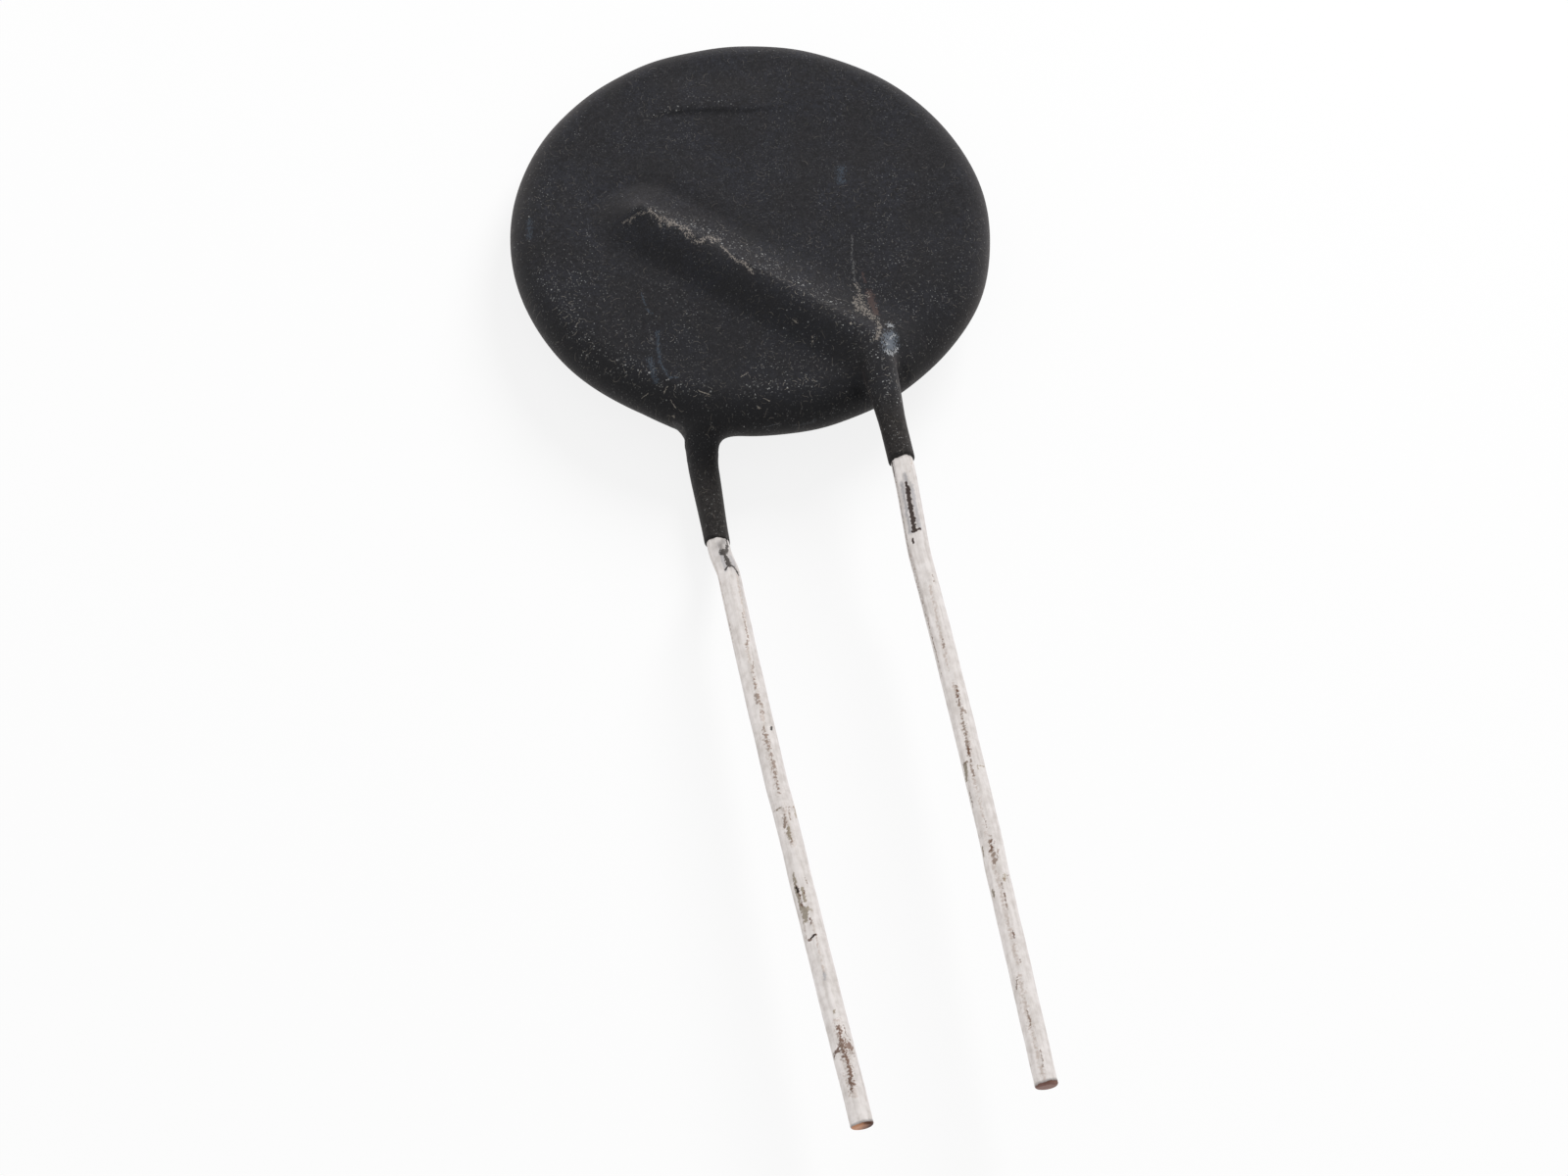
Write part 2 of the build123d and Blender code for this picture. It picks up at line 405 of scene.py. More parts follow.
view = {
    "azimuth": -17.1043, "elevation": 56.8706, "roll": 7.6788,
    "target": (-1.614, 0.201, 0.0), "distance": 271.95, "lens": 140.34, "sensor": 36.0,
}


def makeCamera():
    azimuth, elevation, roll = (radians(view[name]) for name in ("azimuth", "elevation", "roll"))
    backward = Vector((sin(azimuth) * cos(elevation), -cos(azimuth) * cos(elevation), sin(elevation)))
    level = Vector((cos(azimuth), sin(azimuth), 0))
    rise = backward.cross(level)
    across = level * cos(roll) + rise * sin(roll)
    upward = rise * cos(roll) - level * sin(roll)
    place = (Vector(view["target"]) + backward * view["distance"]) * mm
    data = bpy.data.cameras.new("camera")
    data.lens = view["lens"]
    data.sensor_width = view["sensor"]
    data.clip_start = 0.01
    camera = linkMesh("camera", data)
    camera.matrix_world = Matrix.Translation(place) @ Matrix((across, upward, backward)).transposed().to_4x4()
    bpy.context.scene.camera = camera


studio = {
    "worldStrength": 0.45,
    "lampPlace": (260, 330, 270), "lampSize": 260, "lampWatts": 2.9,
    "floorSize": 2.0, "floorColour": (0.86, 0.86, 0.86, 1), "floorWhite": 0.85,
}


def seenByCamera(tree):
    # 1 for what the camera sees, straight or as a reflection, and 0 for what only lights the part
    path = addNode(tree, "LightPath")
    return maths(tree, "MAXIMUM", path.outputs["Is Camera Ray"], path.outputs["Is Glossy Ray"])


def makeStudio():
    scene = bpy.context.scene
    scene.view_settings.view_transform = "Standard"
    world = bpy.data.worlds.new("softRoom")
    scene.world = world
    world.use_nodes = True
    tree = world.node_tree
    inputs = {"Value": seenByCamera(tree), "To Min": studio["worldStrength"], "To Max": 1.0}
    strength = addNode(tree, "MapRange", inputs).outputs[0]
    setInputs(tree, tree.nodes["Background"], {"Color": (1, 1, 1, 1), "Strength": strength})

    lamp = bpy.data.lights.new("softBox", "AREA")
    lamp.shape = "DISK"
    lamp.size = studio["lampSize"] * mm
    lamp.energy = studio["lampWatts"]
    lampObject = linkMesh("softBox", lamp)
    lampObject.visible_glossy = False
    place = Vector(studio["lampPlace"]) * mm
    lampObject.location = place
    lampObject.rotation_euler = (-place).to_track_quat("-Z", "Y").to_euler()

    half = studio["floorSize"] / 2
    mesh = bpy.data.meshes.new("floor")
    corners = [(-half, -half, 0), (half, -half, 0), (half, half, 0), (-half, half, 0)]
    mesh.from_pydata(corners, [], [(0, 1, 2, 3)])
    floor = linkMesh("floor", mesh)
    material = bpy.data.materials.new("paleFloor")
    material.use_nodes = True
    tree = material.node_tree
    tree.nodes.clear()
    paint = addNode(tree, "BsdfDiffuse", {"Color": studio["floorColour"]}).outputs[0]
    glow = addNode(tree, "Emission").outputs[0]
    share = times(tree, seenByCamera(tree), studio["floorWhite"])
    both = addNode(tree, "MixShader", {0: share, 1: paint, 2: glow}).outputs[0]
    addNode(tree, "OutputMaterial", {"Surface": both})
    mesh.materials.append(material)


def setInputs(tree, node, inputs):
    # Each input is given a value or another node's output
    for name, value in inputs.items():
        if isinstance(value, bpy.types.NodeSocket):
            tree.links.new(value, node.inputs[name])
        else:
            node.inputs[name].default_value = value


def addNode(tree, kind, inputs=None, **settings):
    made = tree.nodes.new("ShaderNode" + kind)
    for name, value in settings.items():
        setattr(made, name, value)
    setInputs(tree, made, inputs or {})
    return made


def maths(tree, operation, *values):
    return addNode(tree, "Math", dict(enumerate(values)), operation=operation).outputs[0]


def times(tree, product, *others):
    for other in others:
        product = maths(tree, "MULTIPLY", product, other)
    return product


def plus(tree, total, *others):
    for other in others:
        total = maths(tree, "ADD", total, other)
    return total


def minus(tree, first, second):
    return maths(tree, "SUBTRACT", first, second)


def weighed(tree, *parts):
    # Sum of values, each given with its weight
    return plus(tree, *[times(tree, value, weight) for value, weight in parts])


def vectorMaths(tree, operation, *values):
    made = addNode(tree, "VectorMath", dict(enumerate(values)), operation=operation)
    return made.outputs["Value" if operation in ("DOT_PRODUCT", "DISTANCE") else "Vector"]


def ramp(tree, value, low, high, toLow=0.0, toHigh=1.0):
    # Smooth step from one value to another. It holds its ends by itself, so the node's own clamp is off.
    inputs = {"Value": value, "From Min": low, "From Max": high, "To Min": toLow, "To Max": toHigh}
    return addNode(tree, "MapRange", inputs, interpolation_type="SMOOTHSTEP", clamp=False).outputs[0]


def mixColour(tree, share, *ends):
    first, second = (end if isinstance(end, bpy.types.NodeSocket) else (*end, 1) for end in ends)
    return addNode(tree, "Mix", {0: share, 6: first, 7: second}, data_type="RGBA").outputs[2]


def newGroup(name, inputs, output):
    group = bpy.data.node_groups.new(name, "ShaderNodeTree")
    for socketName, value in inputs.items():
        kind = "NodeSocketVector" if isinstance(value, tuple) else "NodeSocketFloat"
        group.interface.new_socket(socketName, in_out="INPUT", socket_type=kind).default_value = value
    group.interface.new_socket(output, in_out="OUTPUT", socket_type="NodeSocketFloat")
    return group, group.nodes.new("NodeGroupInput").outputs, group.nodes.new("NodeGroupOutput").inputs[output]


def useGroup(tree, group, position, **inputs):
    return addNode(tree, "Group", {"Position": position, **inputs}, node_tree=group).outputs[0]


def makeGrain():
    # Mottling: noise with its finer octaves, from 0 to 1 round a half
    group, given, result = newGroup("grain", {"Position": (0, 0, 0), "Scale": 1.0, "Detail": 3.0}, "Value")
    inputs = {"Vector": given["Position"], "Scale": given["Scale"], "Detail": given["Detail"],
              "Roughness": 0.6}
    group.links.new(addNode(group, "TexNoise", inputs).outputs["Fac"], result)
    return group


def cellsOf(group, given):
    # Cells of the given scale with three random values each, and whether a cell is in the given share
    cells = addNode(group, "TexVoronoi", {"Vector": given["Position"], "Scale": given["Scale"]})
    chance = addNode(group, "SeparateColor", {"Color": cells.outputs["Color"]}).outputs
    return cells, chance, maths(group, "LESS_THAN", chance[0], given["Amount"])


def makeDust():
    # Specks: one in each of a share of the cells, round its point, each its own size and strength
    inputs = {"Position": (0, 0, 0), "Scale": 3.0, "Amount": 0.3, "Size": 0.05}
    group, given, result = newGroup("dust", inputs, "Mask")
    cells, chance, here = cellsOf(group, given)
    reach = maths(group, "DIVIDE", cells.outputs["Distance"], given["Scale"])
    grown = times(group, given["Size"], plus(group, chance[1], 0.5))
    speck = ramp(group, minus(group, 1.0, maths(group, "DIVIDE", reach, grown)), 0.0, 0.6)
    strength = plus(group, times(group, maths(group, "POWER", chance[2], 3.0), 0.85), 0.15)
    group.links.new(times(group, speck, here, strength), result)
    return group


def makeLint():
    # Short fibres: in a share of the cells, a thin curled line through its point at the cell's own angle,
    # curl and strength
    inputs = {"Position": (0, 0, 0), "Scale": 0.5, "Amount": 0.3, "Length": 0.4, "Width": 0.02}
    group, given, result = newGroup("lint", inputs, "Mask")
    cells, chance, here = cellsOf(group, given)
    local = vectorMaths(group, "SUBTRACT", given["Position"], cells.outputs["Position"])
    inputs = {"Vector": local, "Angle": times(group, chance[1], 6.3)}
    turned = addNode(group, "VectorRotate", inputs, rotation_type="Z_AXIS").outputs[0]
    place = addNode(group, "SeparateXYZ", {"Vector": turned}).outputs
    bend = times(group, minus(group, chance[2], 0.4), 5.0)
    curl = times(group, place[0], place[0], bend)
    offLine = maths(group, "ABSOLUTE", minus(group, place[1], curl))
    line = ramp(group, maths(group, "DIVIDE", offLine, given["Width"]), 1.0, 0.3)
    reach = times(group, given["Length"], plus(group, chance[2], 0.3))
    ends = ramp(group, maths(group, "DIVIDE", maths(group, "ABSOLUTE", place[0]), reach), 0.5, 0.35)
    shown = times(group, here, maths(group, "POWER", chance[2], 2.0))
    group.links.new(times(group, line, ends, shown), result)
    return group


def makeMark():
    # One stroke: a height of 1 on its line, falling to 0 at half its width away. The nearest place on the
    # line is its start plus the share of its run that the position has passed, held from 0 to 1.
    inputs = {"Position": (0, 0, 0), "Start": (0, 0, 0), "Run": (1, 0, 0), "Width": 0.1}
    group, given, result = newGroup("mark", inputs, "Height")
    run = given["Run"]
    local = vectorMaths(group, "SUBTRACT", given["Position"], given["Start"])
    passed, whole = (vectorMaths(group, "DOT_PRODUCT", each, run) for each in (local, run))
    share = maths(group, "MINIMUM", maths(group, "MAXIMUM", maths(group, "DIVIDE", passed, whole), 0.0), 1.0)
    nearest = addNode(group, "VectorMath", {0: run, "Scale": share}, operation="SCALE").outputs[0]
    away = vectorMaths(group, "DISTANCE", local, nearest)
    away = maths(group, "DIVIDE", times(group, away, 2.0), given["Width"])
    group.links.new(maths(group, "MAXIMUM", minus(group, 1.0, away), 0.0), result)
    return group


grainGroup, dustGroup, lintGroup, markGroup = makeGrain(), makeDust(), makeLint(), makeMark()


def newMaterial(name):
    made = bpy.data.materials.new(name)
    made.use_nodes = True
    return made, made.node_tree, made.node_tree.nodes["Principled BSDF"]


def discPosition(tree):
    # Object coordinates turned back out of the lean, in millimetres from the disc's centre
    back = leanMatrix.transposed()
    place = addNode(tree, "TexCoord").outputs["Object"]
    shift = -(back @ Vector(discCentre)) / mm
    inputs = {"Vector": place, "Location": shift, "Rotation": back.to_euler(), "Scale": (1 / mm,) * 3}
    return addNode(tree, "Mapping", inputs).outputs[0]


def wobbled(tree, position, wobbles):
    # The position moved about by noise of each fineness and reach, so that what is drawn there is uneven
    for scale, reach in wobbles:
        inputs = {"Vector": position, "Scale": scale, "Detail": 3.0, "Roughness": 0.6}
        noise = addNode(tree, "TexNoise", inputs).outputs["Color"]
        shift = vectorMaths(tree, "SUBTRACT", noise, (0.5, 0.5, 0.5))
        shift = vectorMaths(tree, "MULTIPLY", shift, (reach, reach, 0.0))
        position = vectorMaths(tree, "ADD", position, shift)
    return position


def strokes(tree, position, marks, noise, eaten, edge):
    # The highest of several strokes, eaten into by noise and cut off with a short soft edge
    highest = None
    for x0, y0, x1, y1, width in marks:
        run = (x1 - x0, y1 - y0, 0)
        height = useGroup(tree, markGroup, position, Start=(x0, y0, 0), Run=run, Width=width)
        highest = height if highest is None else maths(tree, "MAXIMUM", highest, height)
    return ramp(tree, minus(tree, highest, times(tree, noise, eaten)), 0.0, edge)


def relief(tree, height, strength, depth):
    inputs = {"Height": height, "Strength": strength, "Distance": depth * mm}
    return addNode(tree, "Bump", inputs).outputs[0]


# Marks on the coat's front, in the order that they are laid down. Each kind has how far the noise eats
# into it, how solid it is, and its strokes: X and Y of one end, of the other, and the width, in
# millimetres in the disc's frame, on a plane through the face. A place above or below the face is
# carried to that plane along markSlope.
markSlope = (0.15, 0.77)
dustyPlaces = [
    (-4.8, 1.4, -2.0, -0.4, 1.4), (-2.0, -0.4, 3.0, -6.0, 1.7), (3.0, -6.3, 3.9, -8.4, 1.5),
    (3.9, -8.0, 4.1, -11.4, 2.1), (-8.5, -6.5, -4.0, -9.5, 1.6), (-2.0, -9.5, 1.0, -9.8, 1.1),
    (-3.6, 6.85, -2.2, 7.0, 0.6), (-10.0, -1.5, -8.4, -6.2, 1.0)]
coatMarks = {
    "smudged": (1.2, 0.62, [
        (4.6, 2.1, 4.45, 1.4, 0.7), (-9.95, 1.7, -10.1, 0.7, 0.5), (-5.65, -3.4, -5.6, -4.1, 0.16),
        (-5.6, -4.3, -5.4, -4.6, 0.2), (-5.35, -5.7, -5.55, -7.4, 0.3), (-5.55, -7.4, -5.25, -8.4, 0.2),
        (-5.95, -7.2, -5.9, -8.4, 0.5), (-5.2, -8.3, -4.9, -8.4, 0.16)]),
    "scratched": (1.25, 0.6, [
        (4.35, -1.8, 4.05, -3.2, 0.14), (4.08, -3.3, 3.95, -4.4, 0.24), (-5.67, -5.8, -5.65, -6.3, 0.14)]),
    "reddish": (0.8, 0.65, [(4.45, -5.2, 4.5, -6.4, 0.62), (4.4, -4.0, 4.42, -4.6, 0.16)]),
    "worn": (1.36, 0.76, [
        (-5.75, 0.72, -5.35, 0.95, 0.2), (-5.38, 0.9, -5.45, 0.6, 0.22), (-5.35, 0.95, -5.05, 1.12, 0.26),
        (-5.05, 1.12, -4.5, 1.15, 0.26), (-4.5, 1.15, -4.4, 1.3, 0.2), (-4.4, 1.1, -4.1, 0.75, 0.3),
        (-4.15, 0.75, -3.7, 0.45, 0.5), (-3.7, 0.45, -3.3, 0.15, 0.56), (-4.1, 0.7, -4.12, 0.25, 0.24),
        (-3.7, 0.45, -3.75, 0.1, 0.26), (-3.2, 0.1, -3.0, -0.65, 0.36), (-3.0, 0.05, -2.8, -0.6, 0.34),
        (-2.75, -0.88, -2.46, -1.0, 0.4), (-2.4, -0.82, -2.05, -0.72, 0.26),
        (-2.05, -0.72, -1.7, -1.02, 0.36), (-2.05, -0.8, -2.0, -1.1, 0.24), (-1.62, -1.36, -1.3, -2.0, 0.2),
        (-1.3, -2.0, -1.05, -2.4, 0.26), (-1.05, -2.4, -0.87, -2.42, 0.26), (-0.87, -2.42, -0.7, -2.7, 0.34),
        (-0.7, -2.7, -0.5, -3.08, 0.32)]),
    "chipped": (1.35, 0.9, [
        (3.98, -4.6, 4.05, -5.0, 0.34), (3.95, -5.2, 4.38, -5.36, 0.32), (3.75, -5.4, 3.78, -6.05, 0.4),
        (3.92, -5.45, 4.12, -6.15, 0.75), (4.0, -6.2, 4.36, -6.6, 0.56), (4.53, -6.85, 4.5, -7.3, 0.4),
        (4.5, -7.3, 4.28, -7.8, 0.42)]),
    "bluish": (0.8, 0.8, [(4.86, -7.8, 4.78, -8.4, 1.15)]),
    # pale marks on the bluish blemish: whitish streaks, partly painted highlights on its edges
    "whitenedAndHighlit": (1.2, 0.85, [
        (4.6, -8.6, 4.8, -8.8, 0.4), (4.8, -8.8, 5.05, -8.55, 0.3), (5.1, -7.75, 4.85, -7.9, 0.24),
        (4.98, -7.1, 5.08, -7.25, 0.4), (4.6, -8.05, 4.7, -8.2, 0.2)]),
    "lint": (0.5, 0.75, [
        (-6.72, -9.27, -6.33, -9.06, 0.09), (-5.68, -9.18, -5.43, -8.8, 0.08),
        (-5.44, -9.56, -5.3, -10.05, 0.07), (-4.14, -9.24, -3.6, -9.65, 0.07),
        (-1.33, -10.2, -1.12, -10.4, 0.09), (-2.06, -8.83, -1.76, -8.66, 0.06), (0.8, -6.1, 0.96, -6.32, 0.1),
        (-5.47, -10.5, -5.48, -10.56, 0.16), (-1.67, -10.64, -1.63, -10.73, 0.14),
        (1.48, -7.18, 1.46, -7.24, 0.13), (1.42, -7.44, 1.41, -7.48, 0.13), (3.3, -6.73, 3.32, -6.8, 0.13)]),
    "scuffed": (1.1, 0.5, [
        (-1.75, -11.94, -1.55, -11.8, 0.16), (-1.55, -11.8, -0.92, -11.76, 0.2),
        (-0.26, -12.02, 0.5, -12.02, 0.34), (0.5, -12.0, 0.7, -11.85, 0.3)]),
}
resinLook = {
    "dark": (0.0048, 0.0051, 0.0064),
    "light": (0.0190, 0.0203, 0.0262), "lightWarm": (0.0203, 0.0203, 0.0230),
    "sleeveDark": (0.0058, 0.0052, 0.0050), "sleeveLight": (0.0272, 0.0248, 0.0238),
    "worn": (0.215, 0.192, 0.172), "chipped": (0.17, 0.152, 0.135), "reddish": (0.066, 0.044, 0.040),
    # the blemish's pale colour is partly a painted highlight
    "bluish": (0.105, 0.120, 0.142), "whitenedAndHighlit": (0.27, 0.28, 0.29), "smudged": (0.050, 0.065, 0.085),
    "scratched": (0.11, 0.11, 0.11), "scuffed": (0.10, 0.105, 0.115),
    "powder": (0.045, 0.045, 0.047), "dust": (0.41, 0.41, 0.405), "lint": (0.26, 0.235, 0.205),
    "roughness": (0.52, 0.7), "specular": 0.2, "sheen": 0.075, "sheenTint": (1.0, 0.86, 0.82),
    "grain": ({"Scale": 11.0, "Detail": 2.0}, {"Scale": 3.5}, {"Scale": 0.5}),     # fine, medium and broad
    # painted shade: the face is darker towards the wires, and darker still down the rim there, where it turns
    # away from the lamp
    "towardsWires": (1.0, -9.0), "lowPaintedShade": 0.36, "downRim": (1.35, 0.6), "rimPaintedShade": 0.75,
    "ontoSleeves": (-10.5, -13.5),
    "mottling": (0.385, 0.65),
    # what makes the marks uneven: how fine each wobble is and how far it reaches, and the hatching
    "wobbles": ((1.5, 0.2), (9.0, 0.16)), "hatching": (22.0, 7.0, 0.0), "eating": (0.38, 0.62),
    "markEdge": 0.25,
    # how thick the dust is in its patches, and how much more there is low down, at the left and in places
    "dustBase": (0.15, 0.6), "dustLow": 0.4, "dustLeft": 0.4, "dustInPlaces": 0.9,
    "haze": {"Scale": 10.0, "Amount": 0.7, "Size": 0.03}, "hazeStrength": 0.5,
    "thick": {"Scale": 6.0, "Amount": 0.7, "Size": 0.045}, "thickStrength": 0.82, "powderStrength": 0.06,
    "specks": {"Scale": 4.6, "Amount": 0.5, "Size": 0.034}, "speckStrength": 0.85,
    "fibres": {"Scale": 1.3, "Amount": 0.35, "Length": 0.34, "Width": 0.02}, "fibreStrength": 0.28,
    "wisps": {"Scale": 3.2, "Amount": 0.8, "Length": 0.24, "Width": 0.014}, "wispStrength": 0.6,
}


def makeResin():
    material, tree, shader = newMaterial("dippedResin")
    look = resinLook
    position = discPosition(tree)
    rightward, fromWires, height = addNode(tree, "SeparateXYZ", {"Vector": position}).outputs
    fine, medium, broad = (useGroup(tree, grainGroup, position, **size) for size in look["grain"])
    mottle = weighed(tree, (fine, 0.6), (medium, 0.3), (broad, 0.1))
    light = mixColour(tree, ramp(tree, broad, 0.35, 0.65), look["lightWarm"], look["light"])
    # Painted shade: the colour goes darker towards the wires, and darker still down the rim there
    shade = plus(tree, ramp(tree, height, *look["downRim"], 0.0, look["rimPaintedShade"]), look["lowPaintedShade"])
    shade = times(tree, ramp(tree, fromWires, *look["towardsWires"]), shade)
    light = mixColour(tree, shade, light, look["dark"])
    downWire = ramp(tree, fromWires, *look["ontoSleeves"])
    light = mixColour(tree, downWire, light, look["sleeveLight"])
    dark = mixColour(tree, downWire, look["dark"], look["sleeveDark"])
    colour = mixColour(tree, ramp(tree, mottle, *look["mottling"]), dark, light)

    # Where a mark is drawn: the place on the face plane, moved about, and hatched noise that eats into it
    front = ramp(tree, height, 0.0, 0.2)
    over = minus(tree, height, coat["halfThickness"])
    places = [plus(tree, place, times(tree, over, slope))
              for place, slope in zip((rightward, fromWires), markSlope)]
    flat = addNode(tree, "CombineXYZ", dict(enumerate(places))).outputs[0]
    uneven = wobbled(tree, flat, look["wobbles"])
    hatched = useGroup(tree, grainGroup, vectorMaths(tree, "MULTIPLY", flat, look["hatching"]), Detail=2.0)
    eating = ramp(tree, weighed(tree, (hatched, 0.6), (fine, 0.4)), *look["eating"])

    # Dust and fibres, thicker in patches, along the crest, towards the lower rim and at the left
    powdered = times(tree, strokes(tree, uneven, dustyPlaces, 0.0, 0.0, 0.8), front)
    patchy = plus(tree, ramp(tree, broad, 0.3, 0.7, *look["dustBase"]),
                  ramp(tree, fromWires, 2.0, -9.0, 0.0, look["dustLow"]),
                  times(tree, powdered, look["dustInPlaces"]),
                  ramp(tree, rightward, -5.5, -10.0, 0.0, look["dustLeft"]))
    specks = useGroup(tree, dustGroup, position, **look["specks"])
    haze = useGroup(tree, dustGroup, position, **look["haze"])
    thick = useGroup(tree, dustGroup, position, **look["thick"])
    haze = maths(tree, "MAXIMUM", times(tree, haze, patchy, look["hazeStrength"]),
                 times(tree, thick, powdered, look["thickStrength"]))
    colour = mixColour(tree, times(tree, powdered, eating, look["powderStrength"]), colour, look["powder"])
    colour = mixColour(tree, haze, colour, look["dust"])
    fibres = useGroup(tree, lintGroup, position, **look["fibres"])
    colour = mixColour(tree, times(tree, fibres, look["fibreStrength"]), colour, look["lint"])
    wisps = useGroup(tree, lintGroup, position, **look["wisps"])
    colour = mixColour(tree, times(tree, wisps, patchy, look["wispStrength"]), colour, look["lint"])
    for name, (eaten, solid, marks) in coatMarks.items():
        mask = strokes(tree, uneven, marks, eating, eaten, look["markEdge"])
        colour = mixColour(tree, times(tree, mask, front, solid), colour, look[name])
    colour = mixColour(tree, times(tree, specks, patchy, look["speckStrength"]), colour, look["dust"])

    setInputs(tree, shader, {
        "Base Color": colour,
        "Normal": relief(tree, weighed(tree, (fine, 0.6), (specks, 0.5)), 0.5, 0.03),
        "Roughness": ramp(tree, fine, 0.2, 0.8, *look["roughness"]),
        "Specular IOR Level": look["specular"],
        "Sheen Weight": look["sheen"], "Sheen Tint": (*look["sheenTint"], 1)})
    return material
